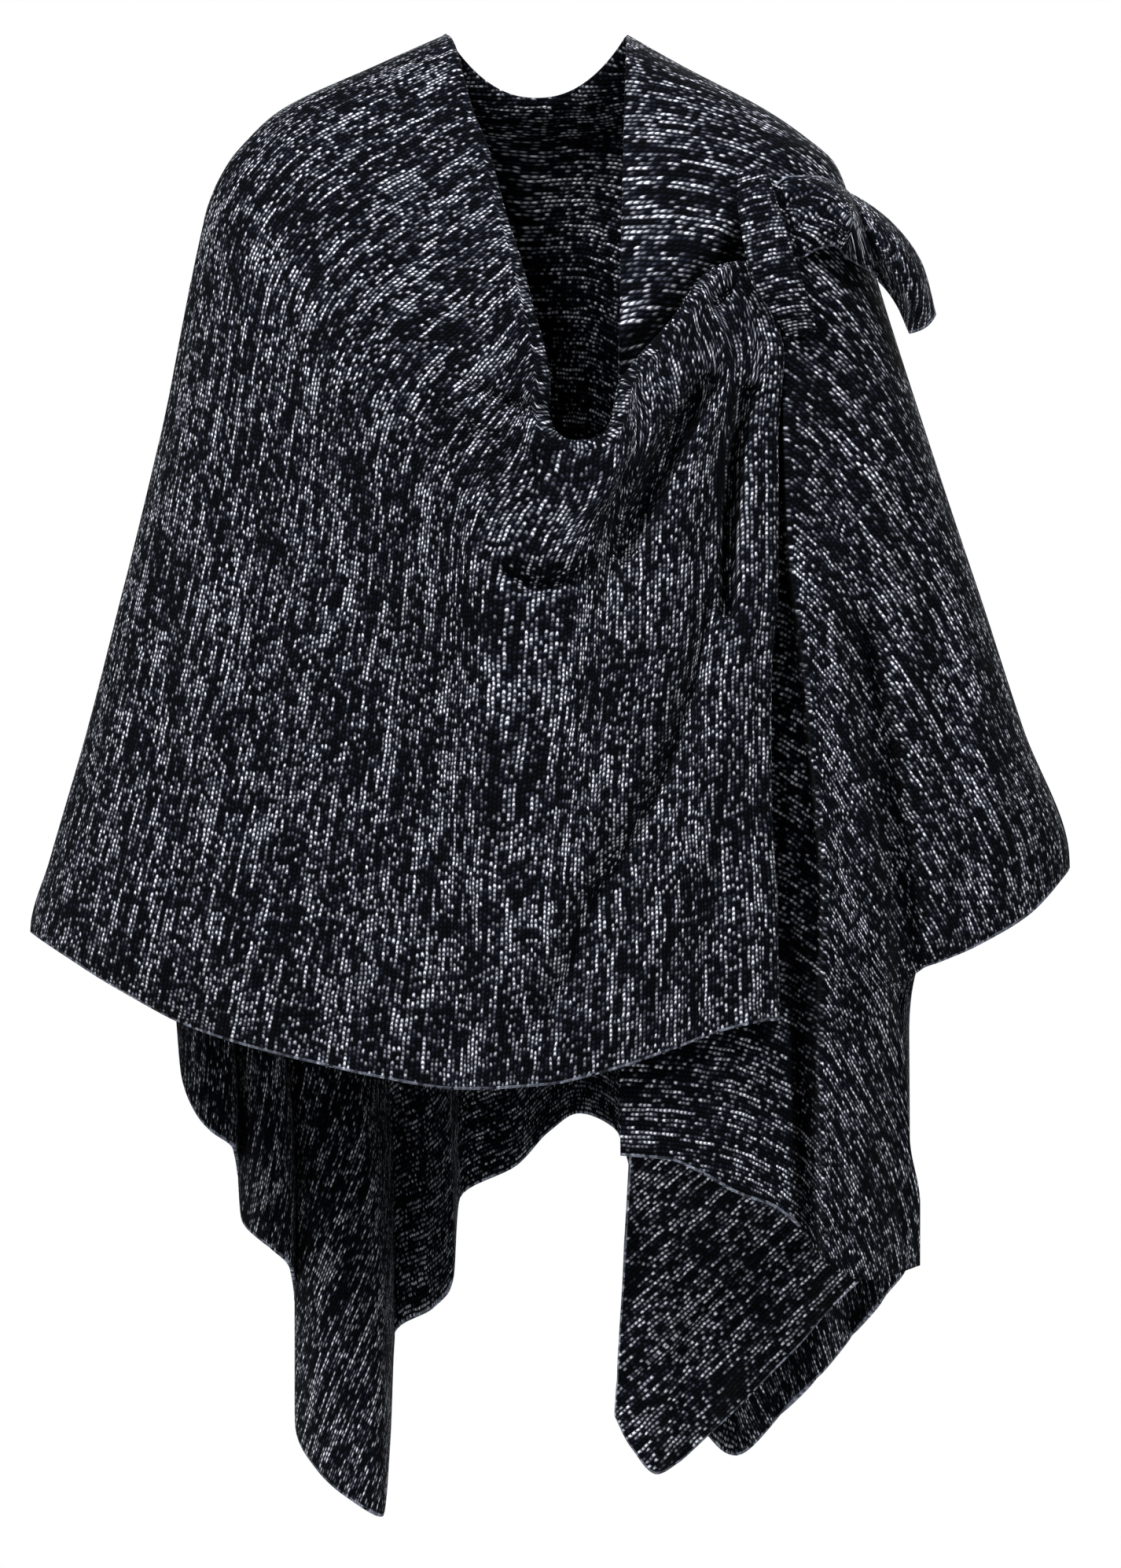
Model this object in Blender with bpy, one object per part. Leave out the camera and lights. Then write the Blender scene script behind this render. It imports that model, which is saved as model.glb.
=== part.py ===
"""Ruana wrap in marled knit, worn, with its right front pulled through a loop at the left shoulder."""
import math

import bmesh
import bpy
import numpy as np

# All sizes are in millimetres here and turn to metres in one place, when a mesh is made.
# The frame: x to the wearer's left, y to the wearer's back, "down" below the neck points.
METRE = 0.001
WALL = 2.4          # thickness of the knit
SEAM = 0.3          # space between stretches that meet
NECK_HALF = 63.0    # half the width between the two neck points
NECK_SAG = 40.0     # how far the back neck hangs below the neck points
NECK_DEPTH = 58.0   # how far the back neck lies behind the neck points
SQUARENESS = 2.2    # power of the rounded section, 2 is an ellipse
GAP_WALL = 9.0      # width over which the left front drops behind the wrap
GAP_ROLL = 9.0      # radius of the wrap's edge along the gap
CORNER_REST = 0.2   # space kept behind the left front for its own folded corner

# Sections of the whole garment, one row a height.
SECTION_COLUMNS = ("down", "right_reach", "left_reach", "front", "back")
SECTIONS = (
    (0, 63, 63, 52, 58),
    (20, 108, 98, 72, 70),
    (54, 180, 162, 88, 84),
    (72, 200, 188, 98, 92),
    (90, 215, 208, 108, 100),
    (117, 228, 219, 120, 108),
    (145, 235, 229, 131, 114),
    (200, 246, 246, 147, 120),
    (262, 258, 266, 158, 122),
    (335, 275, 290, 161, 122),
    (395, 290, 310, 160, 124),
    (485, 313, 339, 159, 129),
    (575, 339, 371, 160, 135),
    (626, 353, 372, 162, 139),
    (645, 350, 345, 163, 140),
    (667, 330, 305, 163, 141),
    (692, 293, 288, 163, 142),
    (735, 264, 278, 163, 143),
    (800, 240, 275, 162, 144),
    (1040, 205, 272, 160, 146),
)

# Lower edge of the back, one row a fold: turn about the body in degrees and where the edge hangs.
BACK_COLUMNS = ("turn", "x", "down", "y")
BACK_EDGE = (
    (0, -353, 626, 0.0),
    (9, -302, 644, 34),
    (16, -256, 672, 58),
    (20, -248, 732, 44),
    (24, -231, 764, 20),
    (28, -212, 780, 34),
    (31, -210, 800, 82),
    (35, -207, 829, 60),
    (39, -188, 847, 16),
    (43, -172, 864, 30),
    (45, -170, 890, 84),
    (48, -169, 972, 52),
    (52, -154, 1002, 8),
    (57, -131, 1023, -4),
    (61, -109, 1036, 8),
    (63, -104, 985, 48),
    (66, -101, 912, 92),
    (69, -74, 893, 74),
    (72, -60, 874, 60),
    (75, -56, 818, 104),
    (79, -14, 793, 120),
    (84, 8, 770, 132),
    (90, 30, 757, 140),
    (96, 56, 768, 134),
    (102, 76, 836, 108),
    (108, 96, 936, 78),
    (114, 118, 978, 56),
    (120, 140, 995, 42),
    (126, 172, 967, 62),
    (131, 197, 940, 34),
    (136, 222, 912, 64),
    (141, 244, 884, 36),
    (145, 261, 856, 44),
    (148, 262, 800, 66),
    (151, 262, 700, 88),
    (157, 272, 645, 94),
    (164, 305, 622, 72),
    (172, 343, 602, 40),
    (180, 372, 582, 0.0),
)

# Borders of the wrap as it is seen from the front, each a line of (x, down).
WRAP_SLIT = (
    (-63, 0), (-60, 4), (-56, 14), (-52, 31), (-44, 59), (-36, 78), (-21, 132), (-9, 170), (-3, 194), (6, 228),
    (9, 250), (8, 266), (12, 280), (26, 288), (42, 286), (52, 274), (57, 250), (70, 231), (92, 206), (114, 175),
    (124, 167), (137, 163),
)
WRAP_HEM = (
    (-353, 626), (-285, 667), (-236, 692), (-183, 708), (-107, 725), (-51, 733), (8, 730), (44, 722),
    (90, 707), (128, 693), (158, 686),
)
WRAP_GAP = (
    (137, 163), (142, 177), (150, 190), (157, 206), (161, 226), (159, 255), (157, 283), (157, 381), (152, 454),
    (152, 528), (156, 602), (158, 686),
)

# Roll of the wrap's slit edge, one row a place along it.
ROLL_COLUMNS = ("along", "radius", "lift")
ROLL = (
    (0.00, 2.5, 0),
    (0.20, 4.0, 2),
    (0.42, 7.0, 4),
    (0.58, 10.0, 8),
    (0.72, 12.0, 13),
    (0.86, 12.0, 14),
    (1.00, 6.0, 8),
)

# Borders of the left front.
LEFT_INNER = ((63, 0.8), (61, 60), (58, 180), (57, 300), (57, 620), (58, 779))
LEFT_SIDE = (
    (372, 582), (342, 613), (304, 635), (262, 654), (250, 667), (254, 705), (259, 774), (266, 815), (266, 858),
)
LEFT_HEM = (
    (58, 779), (91, 782), (111, 790), (142, 807), (162, 814), (181, 828), (192, 842), (206, 858), (232, 866),
    (266, 858),
)

# Gap between the wrap and the left front: where the left front starts to drop, and how deep it drops.
GAP_COLUMNS = ("down", "x", "depth")
GAP = (
    (165, 160, 32),
    (186, 166, 36),
    (214, 172, 40),
    (255, 172, 42),
    (300, 173, 44),
    (350, 175, 46),
    (381, 178, 48),
    (430, 185, 48),
    (504, 192, 48),
    (553, 197, 48),
    (602, 200, 46),
    (640, 199, 42),
    (700, 197, 24),
    (800, 199, 20),
    (860, 202, 18),
)

# Corner of the left front that hangs behind its hem, one row a fold, top then lower edge.
CORNER_COLUMNS = ("top_x", "top_down", "top_y", "x", "down", "y")
CORNER = (
    (66, 742, -92, 55, 962, -50),
    (78, 742, -84, 66, 984, -56),
    (92, 744, -92, 83, 1003, -46),
    (110, 748, -84, 98, 996, -30),
    (134, 756, -76, 121, 975, -38),
    (160, 768, -70, 150, 948, -20),
    (186, 782, -66, 180, 917, -30),
    (214, 800, -56, 206, 888, -10),
    (244, 822, -40, 236, 860, -18),
)

# Pulled-through end, one row a place along it: x, down and lift of its upper side, ridge and lower side.
END_COLUMNS = ("upper_x", "upper_down", "upper_lift", "ridge_x", "ridge_down", "ridge_lift",
               "lower_x", "lower_down", "lower_lift")
WRAP_END = (
    (154, 112, 4, 160, 136, 6, 168, 160, 4),
    (166, 107, 4, 172, 134, 6, 181, 160, 4),
    (176, 102, 9, 186, 127, 22, 194, 153, 13),
    (194, 102, 17, 202, 122, 44, 207, 150, 24),
    (220, 113, 32, 220, 133, 66, 216, 158, 26),
    (248, 134, 44, 243, 152, 78, 237, 171, 42),
    (268, 163, 52, 260, 178, 82, 251, 189, 52),
    (277, 197, 56, 270, 206, 70, 260, 210, 60),
)

# Loop over the pulled-through cloth, one row a place along it.
LOOP_COLUMNS = ("x", "down", "lift", "width")
LOOP = (
    (149, 98, 10, 20),
    (151, 114, 18, 25),
    (155, 134, 22, 29),
    (160, 155, 26, 32),
    (166, 175, 24, 32),
    (175, 194, 18, 26),
    (184, 213, 5.9, 20),
)

# Folds as soft ridges (height above 0) and troughs (below 0) along a bent line in (x, down).
FOLD_COLUMNS = ("x0", "down0", "x1", "down1", "x2", "down2", "width", "height")
WRAP_FOLDS = (
    (114, 252, 88, 290, 57, 372, 11, -28),
    (100, 246, 74, 286, 46, 362, 14, 10),
    (112, 286, 96, 330, 84, 392, 15, 8),
    (143, 262, 133, 318, 131, 408, 9, -24),
    (151, 300, 149, 420, 140, 560, 12, 7),
    (117, 405, 96, 520, 37, 602, 11, -14),
    (37, 602, 20, 650, 4, 694, 11, -9),
    (134, 420, 120, 545, 62, 690, 18, 9),
    (98, 400, 74, 520, 10, 620, 20, 7),
    (60, 400, 30, 520, -40, 700, 34, 6),
    (-20, 378, 4, 392, 28, 380, 11, -8),
    (-50, 247, -22, 262, 6, 270, 8, -7),
    (-56, 256, -26, 282, 16, 292, 9, 7),
    (-70, 240, -62, 300, -44, 360, 12, -5),
    (-40, 150, -20, 220, -30, 262, 14, 6),
    (-120, 70, -90, 260, 20, 420, 20, -6),
    (-200, 110, -150, 330, -60, 560, 26, -8),
    (-150, 130, -110, 320, -20, 540, 26, 6),
    (-215, 240, -190, 430, -150, 700, 22, -9),
    (-262, 330, -260, 480, -235, 680, 16, -9),
    (-100, 600, -90, 660, -84, 720, 20, 5),
)
LEFT_FOLDS = (
    (182, 628, 184, 740, 189, 866, 10, -30),
    (120, 700, 124, 760, 120, 820, 20, 5),
    (196, 380, 222, 520, 240, 690, 13, 13),
    (222, 420, 250, 540, 262, 690, 15, -28),
    (300, 420, 318, 520, 320, 620, 16, 9),
    (252, 330, 290, 450, 300, 640, 13, -10),
    (196, 230, 206, 330, 232, 460, 16, -8),
    (80, 60, 110, 120, 150, 150, 14, -5),
    (110, 60, 150, 90, 190, 100, 12, 4),
    (218, 720, 226, 780, 224, 860, 14, 8),
    (244, 700, 250, 770, 250, 850, 10, -8),
)
CORNER_FOLDS = (
    (138, 860, 105, 912, 60, 940, 8, -9),
    (180, 850, 140, 930, 92, 990, 12, 7),
)


def named(rows, columns):
    """The columns of a table, by name."""
    return {name: np.array([row[i] for row in rows], dtype=float) for i, name in enumerate(columns)}


def smooth_line(knots, values, at):
    """A curve through the values that never overshoots them."""
    gaps = np.diff(knots)
    slopes = np.diff(values) / gaps
    tangents = np.zeros(len(values))
    tangents[0] = slopes[0]
    tangents[-1] = slopes[-1]
    for i in range(1, len(values) - 1):
        if slopes[i - 1] * slopes[i] > 0:
            tangents[i] = 2 * slopes[i - 1] * slopes[i] / (slopes[i - 1] + slopes[i])
    at = np.clip(at, knots[0], knots[-1])
    i = np.clip(np.searchsorted(knots, at, side="right") - 1, 0, len(gaps) - 1)
    s = (at - knots[i]) / gaps[i]
    near = (1 + 2 * s) * (1 - s) ** 2 * values[i] + s * (1 - s) ** 2 * gaps[i] * tangents[i]
    far = s * s * (3 - 2 * s) * values[i + 1] - s * s * (1 - s) * gaps[i] * tangents[i + 1]
    return near + far


def border(points, at):
    """Points along a border, for places 0 to 1 by its length."""
    points = np.array(points, dtype=float)
    steps = np.linalg.norm(np.diff(points, axis=0), axis=1)
    knots = np.concatenate(([0.0], np.cumsum(steps))) / np.sum(steps)
    return np.stack([smooth_line(knots, points[:, 0], at), smooth_line(knots, points[:, 1], at)], axis=-1)


def ease(value):
    """Soft step from 0 to 1."""
    value = np.clip(value, 0.0, 1.0)
    return value * value * (3 - 2 * value)


def slow_start(count, share=0.34):
    """Places 0 to 1 that start close together, for a sheet that starts at the shoulder line."""
    a = np.linspace(0.0, 1.0, count)
    slow = a * a / (2 * share * (1 - share / 2))
    even = (a - share / 2) / (1 - share / 2)
    return np.where(a < share, slow, even)


SECTION = named(SECTIONS, SECTION_COLUMNS)


def section(name, down):
    """One size of the garment's section at each height."""
    return smooth_line(SECTION["down"], SECTION[name], down)


def front_y(x, down):
    """Where the front lies for each x and height: 0 on the shoulder line, less toward the viewer."""
    reach = np.where(x < 0, section("right_reach", down), section("left_reach", down))
    share = np.clip(np.abs(x) / reach, 0.0, 1.0)
    return -section("front", down) * (1 - share ** SQUARENESS) ** (1 / SQUARENESS)


def fold_height(folds, x, down):
    """Sum of the ridges and troughs at each place."""
    total = np.zeros_like(x)
    steps = np.linspace(0.0, 1.0, 25)
    for x0, down0, x1, down1, x2, down2, width, height in folds:
        line_x = (1 - steps) ** 2 * x0 + 2 * steps * (1 - steps) * x1 + steps ** 2 * x2
        line_down = (1 - steps) ** 2 * down0 + 2 * steps * (1 - steps) * down1 + steps ** 2 * down2
        apart = np.hypot(x[..., None] - line_x, down[..., None] - line_down)
        nearest = np.min(apart, axis=-1)
        place = steps[np.argmin(apart, axis=-1)]
        fade = np.sin(math.pi * np.clip(0.12 + 0.76 * place, 0, 1)) ** 0.7
        total = total + height * fade * np.exp(-((nearest / width) ** 2))
    return total


def patch(top, bottom, start, end, u, v):
    """Four borders filled in, each point a blend of all four."""
    u = u[None, :, None]
    v = v[:, None, None]
    across = (1 - v) * top[None, :, :] + v * bottom[None, :, :]
    along = (1 - u) * start[:, None, :] + u * end[:, None, :]
    corners = ((1 - u) * (1 - v) * top[0] + u * (1 - v) * top[-1]
               + (1 - u) * v * bottom[0] + u * v * bottom[-1])
    return across + along - corners


def back_grid(columns=72, rows=20):
    """Middle of the back's wall: columns fan out from the neck and hang in folds at the lower edge."""
    table = named(BACK_EDGE, BACK_COLUMNS)
    places = np.arange(len(BACK_EDGE), dtype=float)
    at = np.linspace(0.0, len(BACK_EDGE) - 1, columns)
    edge = {name: smooth_line(places, values, at) for name, values in table.items()}
    turn = np.radians(edge["turn"])
    down_share = np.linspace(0.0, 1.0, rows)[:, None] ** 1.35
    neck_down = NECK_SAG * np.sin(turn) ** 2
    down = neck_down + (edge["down"] - neck_down) * down_share
    spread = np.clip((down - neck_down) / (1.0 + 34.0 * np.sin(turn)), 0.0, 1.0)
    spread = np.where(np.sin(turn) < 1e-6, 1.0, ease(spread))
    reach = np.where(turn < math.pi / 2, section("right_reach", down), section("left_reach", down))
    wide = NECK_HALF + (reach - NECK_HALF) * spread
    deep = NECK_DEPTH + (section("back", down) - NECK_DEPTH) * spread
    power = 2 / SQUARENESS
    x = -np.sign(np.cos(turn)) * wide * np.abs(np.cos(turn)) ** power
    y = deep * np.abs(np.sin(turn)) ** power
    hang = ease((down - 0.42 * edge["down"]) / (0.58 * edge["down"]))
    free = ease(np.sin(turn) / 0.3)
    x = x + (edge["x"] - x * free - x[-1] * (1 - free)) * hang
    y = y + (edge["y"] - y * free - y[-1] * (1 - free)) * hang
    y[:, 0] = 0.0
    y[:, -1] = 0.0
    y = y + SEAM / 2
    return np.stack([x, y, -down], axis=-1)


def wrap_grid(columns=40, rows=26):
    """Middle of the wrap's wall, with its slit edge and its gap edge rolled in."""
    u = slow_start(columns)
    u = u + 0.22 * u * (1 - u)
    v = np.linspace(0.0, 1.0, rows)
    slit = border(WRAP_SLIT, u)
    roll = named(ROLL, ROLL_COLUMNS)
    radius = smooth_line(roll["along"], roll["radius"], u)
    lift = smooth_line(roll["along"], roll["lift"], u)
    along = np.gradient(slit, axis=0)
    along = along / np.linalg.norm(along, axis=1)[:, None]
    inward = np.stack([-along[:, 1], along[:, 0]], axis=-1)
    inward[0] = 0.0
    start = slit + inward * radius[:, None]
    shoulder = [(-row[1], row[0]) for row in SECTIONS if row[0] <= 626]
    side = border(shoulder, v)
    flat = patch(start, border(WRAP_HEM, u), side, border(WRAP_GAP, v), u, v)
    x = flat[..., 0]
    down = flat[..., 1]
    x[:, 0] = -section("right_reach", down[:, 0])
    rise = lift[None, :] * (1 - ease(v / 0.35))[:, None]
    folds = fold_height(WRAP_FOLDS, x, down) * ease(u / 0.12)[None, :]
    y = front_y(x, down) - rise * ease(u / 0.12)[None, :] - folds
    turns = np.radians((200, 165, 130, 95, 60, 28))
    curl_x = [start[:, 0] - inward[:, 0] * radius * math.sin(a) for a in turns]
    curl_down = [start[:, 1] - inward[:, 1] * radius * math.sin(a) for a in turns]
    curl_y = [y[0] + radius * (1 - math.cos(a)) * ease(u / 0.03) for a in turns]
    x = np.concatenate([np.array(curl_x), x])
    down = np.concatenate([np.array(curl_down), down])
    y = np.concatenate([np.array(curl_y), y])
    for a in np.radians((35, 70, 105, 140)):
        x = np.concatenate([x, (x[:, columns - 1] + GAP_ROLL * math.sin(a))[:, None]], axis=1)
        down = np.concatenate([down, down[:, columns - 1][:, None]], axis=1)
        y = np.concatenate([y, (y[:, columns - 1] + GAP_ROLL * (1 - math.cos(a)))[:, None]], axis=1)
    y[:, 0] = 0.0
    y = y - SEAM / 2
    return np.stack([x, y, -down], axis=-1)


def row_places(x, gap_x, before, after, wall):
    """Places along one row, close together where the row drops behind the wrap."""
    fine = np.linspace(0.0, 1.0, len(x))
    hit = int(np.argmax(x >= gap_x))
    edge = fine[hit]
    step = wall / max(x[-1] - x[0], 1.0)
    start = max(edge - step, 0.02)
    return np.concatenate([np.linspace(0, start, before), np.linspace(start, edge, 5)[1:],
                           np.linspace(edge, 1, after)[1:]])


def left_grid(before=11, after=15, rows=30):
    """Middle of the left front's wall: its shoulder line is the first row, its columns follow the gap."""
    fine = np.linspace(0.0, 1.0, 241)
    v = slow_start(rows)
    shoulder = [(row[2], row[0]) for row in SECTIONS if row[0] <= 575] + [LEFT_SIDE[0]]
    inner = border(LEFT_INNER, v)
    side = border(LEFT_SIDE, v)
    flat = patch(border(shoulder, fine), border(LEFT_HEM, fine), inner, side, fine, v)
    gap = named(GAP, GAP_COLUMNS)
    x = []
    down = []
    for row in flat:
        gap_x = smooth_line(gap["down"], gap["x"], row[:, 1])
        places = row_places(row[:, 0], gap_x, before, after, GAP_WALL)
        x.append(np.interp(places, fine, row[:, 0]))
        down.append(np.interp(places, fine, row[:, 1]))
    x = np.array(x)
    down = np.array(down)
    x[0] = section("left_reach", down[0])
    y = left_y(x, down, ease(v / 0.1)[:, None])
    y[0] = 0.0
    y = y - SEAM / 2
    return np.stack([x, y, -down], axis=-1)


def left_y(x, down, v_share):
    """Where the left front lies, behind the wrap where that covers it."""
    gap = named(GAP, GAP_COLUMNS)
    gap_x = smooth_line(gap["down"], gap["x"], down)
    depth = smooth_line(gap["down"], gap["depth"], down)
    roll_down = 253 - (x - 55) * 1.04
    behind = ease((down - roll_down) / 34 + 1.1) * ease((gap_x - x) / GAP_WALL)
    return front_y(x, down) + depth * behind - fold_height(LEFT_FOLDS, x, down) * v_share


def corner_grid(columns=22, rows=14):
    """Middle of the left front's hanging corner; its top lies against the back of the left front."""
    table = named(CORNER, CORNER_COLUMNS)
    places = np.arange(len(CORNER), dtype=float)
    at = np.linspace(0.0, len(CORNER) - 1, columns)
    line = {name: smooth_line(places, values, at) for name, values in table.items()}
    v = np.linspace(0.0, 1.0, rows)[:, None]
    x = line["top_x"] + (line["x"] - line["top_x"]) * v
    down = line["top_down"] + (line["down"] - line["top_down"]) * v
    y = line["top_y"] + (line["y"] - line["top_y"]) * ease(v * 0.5) * 2
    y = y - fold_height(CORNER_FOLDS, x, down)
    nearby = [left_y(x + side, down + drop, 1.0) for side in (-8, 0, 8) for drop in (-6, 6)]
    against = np.max(nearby, axis=0) + WALL + CORNER_REST
    y = against + (y - against) * ease(v / 0.45)
    return np.stack([x, y, -down], axis=-1)


def end_grid(columns=18, rows=11):
    """Middle of the pulled-through end: an arch across, from the loop to the corner's tip."""
    table = named(WRAP_END, END_COLUMNS)
    places = np.arange(len(WRAP_END), dtype=float)
    at = np.linspace(0.0, len(WRAP_END) - 1, columns)
    line = {name: smooth_line(places, values, at) for name, values in table.items()}
    v = np.linspace(0.0, 1.0, rows)[:, None]
    weights = {"upper": (1 - v) * (1 - 2 * v), "ridge": 4 * v * (1 - v), "lower": v * (2 * v - 1)}
    x = sum(weight * line[side + "_x"] for side, weight in weights.items())
    down = sum(weight * line[side + "_down"] for side, weight in weights.items())
    lift = sum(weight * line[side + "_lift"] for side, weight in weights.items())
    return np.stack([x, front_y(x, down) - lift, -down], axis=-1)


def loop_grid(columns=7, rows=15):
    """Middle of the loop: a bowed strip over the pulled-through cloth."""
    table = named(LOOP, LOOP_COLUMNS)
    places = np.arange(len(LOOP), dtype=float)
    at = np.linspace(0.0, len(LOOP) - 1, rows)
    line = {name: smooth_line(places, values, at) for name, values in table.items()}
    across = np.linspace(-0.5, 0.5, columns)[None, :] * line["width"][:, None]
    x = line["x"][:, None] + across * 0.94
    down = line["down"][:, None] - across * 0.3
    middle = front_y(line["x"], line["down"])[:, None] + across * 0.25
    bow = 4.0 * (1 - (2 * across / line["width"][:, None]) ** 2) * ease(line["lift"] / 20)[:, None]
    return np.stack([x, middle - line["lift"][:, None] - bow, -down], axis=-1)


def cloth_material(name, colour):
    """Plain knit colour of one stretch."""
    material = bpy.data.materials.new(name)
    material.use_nodes = True
    shader = material.node_tree.nodes["Principled BSDF"]
    shader.inputs["Base Color"].default_value = (*colour, 1.0)
    shader.inputs["Roughness"].default_value = 0.92
    shader.inputs["Metallic"].default_value = 0.0
    return material


def make_sheet(name, grid, colour, seams=()):
    """One closed wall from the grid of its middle; at seams its end stands square to y."""
    run = np.gradient(grid, axis=1)
    fall = np.gradient(grid, axis=0)
    normal = np.cross(run, fall)
    if "start" in seams:
        normal[:, 0, 1] = 0.0
    if "end" in seams:
        normal[:, -1, 1] = 0.0
    if "top" in seams:
        normal[0, :, 1] = 0.0
    normal = normal / np.maximum(np.linalg.norm(normal, axis=-1, keepdims=True), 1e-9)
    rows, columns = grid.shape[:2]
    sides = [grid + normal * WALL / 2, grid - normal * WALL / 2]
    points = np.concatenate([side.reshape(-1, 3) for side in sides]) * METRE
    size = rows * columns

    def index(side, row, column):
        return side * size + row * columns + column

    faces = []
    for row in range(rows - 1):
        for column in range(columns - 1):
            ring = [(row, column), (row, column + 1), (row + 1, column + 1), (row + 1, column)]
            faces.append([index(0, *place) for place in ring])
            faces.append([index(1, *place) for place in reversed(ring)])
    rim = ([(0, c) for c in range(columns)] + [(r, columns - 1) for r in range(1, rows)]
           + [(rows - 1, c) for c in range(columns - 2, -1, -1)] + [(r, 0) for r in range(rows - 2, 0, -1)])
    for here, there in zip(rim, rim[1:] + rim[:1]):
        faces.append([index(0, *there), index(0, *here), index(1, *here), index(1, *there)])
    mesh = bpy.data.meshes.new(name)
    mesh.from_pydata([tuple(point) for point in points], [], faces)
    shape = bmesh.new()
    shape.from_mesh(mesh)
    bmesh.ops.triangulate(shape, faces=shape.faces[:])
    bmesh.ops.recalc_face_normals(shape, faces=shape.faces[:])
    if shape.calc_volume(signed=True) < 0:
        bmesh.ops.reverse_faces(shape, faces=shape.faces[:])
    for face in shape.faces:
        face.smooth = True
    shape.to_mesh(mesh)
    shape.free()
    mesh.materials.append(cloth_material(name + "_knit", colour))
    piece = bpy.data.objects.new(name, mesh)
    bpy.context.scene.collection.objects.link(piece)
    return piece


def build():
    """All the stretches of the ruana."""
    for old in list(bpy.data.objects):
        bpy.data.objects.remove(old, do_unlink=True)
    make_sheet("back", back_grid(), (0.030, 0.038, 0.060), seams=("start", "end"))
    make_sheet("front_wrap", wrap_grid(), (0.042, 0.050, 0.074), seams=("start",))
    make_sheet("front_left", left_grid(), (0.038, 0.046, 0.070), seams=("top",))
    make_sheet("front_left_corner", corner_grid(), (0.034, 0.042, 0.064))
    make_sheet("wrap_end", end_grid(), (0.042, 0.050, 0.074))
    make_sheet("loop", loop_grid(), (0.036, 0.044, 0.068))


build()
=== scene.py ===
# Ruana wrap in marled knit, worn, with the right front drawn across and pulled through a loop.
import math

import bpy
import numpy as np
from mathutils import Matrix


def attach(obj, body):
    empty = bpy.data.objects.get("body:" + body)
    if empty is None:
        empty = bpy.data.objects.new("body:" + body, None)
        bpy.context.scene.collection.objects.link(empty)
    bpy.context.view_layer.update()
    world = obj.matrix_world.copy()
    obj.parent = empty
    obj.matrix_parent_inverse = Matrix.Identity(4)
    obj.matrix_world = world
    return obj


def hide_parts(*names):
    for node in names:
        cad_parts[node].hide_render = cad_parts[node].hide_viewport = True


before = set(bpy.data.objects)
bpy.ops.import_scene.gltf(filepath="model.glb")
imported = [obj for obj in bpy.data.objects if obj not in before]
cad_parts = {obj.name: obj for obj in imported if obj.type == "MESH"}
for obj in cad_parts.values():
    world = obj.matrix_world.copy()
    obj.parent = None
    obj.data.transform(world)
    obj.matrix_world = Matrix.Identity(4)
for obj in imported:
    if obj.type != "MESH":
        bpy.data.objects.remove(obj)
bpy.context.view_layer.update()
bpy.ops.object.select_all(action="DESELECT")
print("frame loaded, nodes:", ", ".join(sorted(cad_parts)))

# The garment as a whole, in millimetres; down is measured from the neck points.
garment = {
    "wall": 2.4,           # thickness of the knit
    "seam": 0.3,           # space between stretches at the shoulder line
    "neckHalf": 63.0,
    "neckSag": 40.0,
    "neckDepth": 58.0,
    "squareness": 2.2,     # 2 is an ellipse
    "gapWall": 4.0,        # width over which the left front drops behind the wrap
    "cornerRest": 0.2,
    "ripple": 0.8,         # unevenness of hanging knit
    "flatHalfWidth": 731.0,
    "flatHalfLength": 765.0,
    "fitSteps": 800,
    "deepFold": 20.0,      # folds deeper than this have steep sides
}
sections = np.array([   # down, right reach, left reach, front, back
    (0, 63, 63, 52, 58),
    (20, 108, 98, 72, 70),
    (54, 180, 162, 88, 84),
    (72, 200, 188, 98, 92),
    (90, 215, 208, 108, 100),
    (117, 228, 219, 120, 108),
    (145, 235, 229, 131, 114),
    (200, 246, 246, 147, 120),
    (262, 258, 266, 158, 122),
    (335, 275, 290, 161, 122),
    (395, 290, 310, 160, 124),
    (485, 313, 339, 159, 129),
    (575, 339, 371, 160, 135),
    (626, 353, 372, 162, 139),
    (645, 350, 345, 163, 140),
    (667, 330, 305, 163, 141),
    (692, 293, 288, 163, 142),
    (735, 264, 278, 163, 143),
    (800, 240, 275, 162, 144),
    (1040, 205, 272, 160, 146),
], dtype=float)
gapLine = np.array([    # down, x where the left front starts to drop behind the wrap, depth of the drop
    (165, 160, 32), (186, 166, 36), (214, 172, 40), (255, 172, 42), (300, 173, 44), (350, 175, 46), (381, 178, 48),
    (430, 185, 48), (504, 192, 48), (553, 197, 48), (602, 200, 46), (640, 199, 42), (700, 197, 24), (800, 199, 20),
    (860, 202, 18),
], dtype=float)


def ease(value):
    value = np.clip(value, 0.0, 1.0)
    return value * value * (3 - 2 * value)


def smoothLine(knots, values, at):
    knots = np.asarray(knots, dtype=float)
    values = np.asarray(values, dtype=float)
    gaps = np.diff(knots)
    slopes = np.diff(values) / gaps
    tangents = np.zeros(len(values))
    tangents[0] = slopes[0]
    tangents[-1] = slopes[-1]
    for i in range(1, len(values) - 1):
        if slopes[i - 1] * slopes[i] > 0:
            tangents[i] = 2 * slopes[i - 1] * slopes[i] / (slopes[i - 1] + slopes[i])
    at = np.clip(at, knots[0], knots[-1])
    i = np.clip(np.searchsorted(knots, at, side="right") - 1, 0, len(gaps) - 1)
    s = (at - knots[i]) / gaps[i]
    near = (1 + 2 * s) * (1 - s) ** 2 * values[i] + s * (1 - s) ** 2 * gaps[i] * tangents[i]
    far = s * s * (3 - 2 * s) * values[i + 1] - s * s * (1 - s) * gaps[i] * tangents[i + 1]
    return near + far


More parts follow.
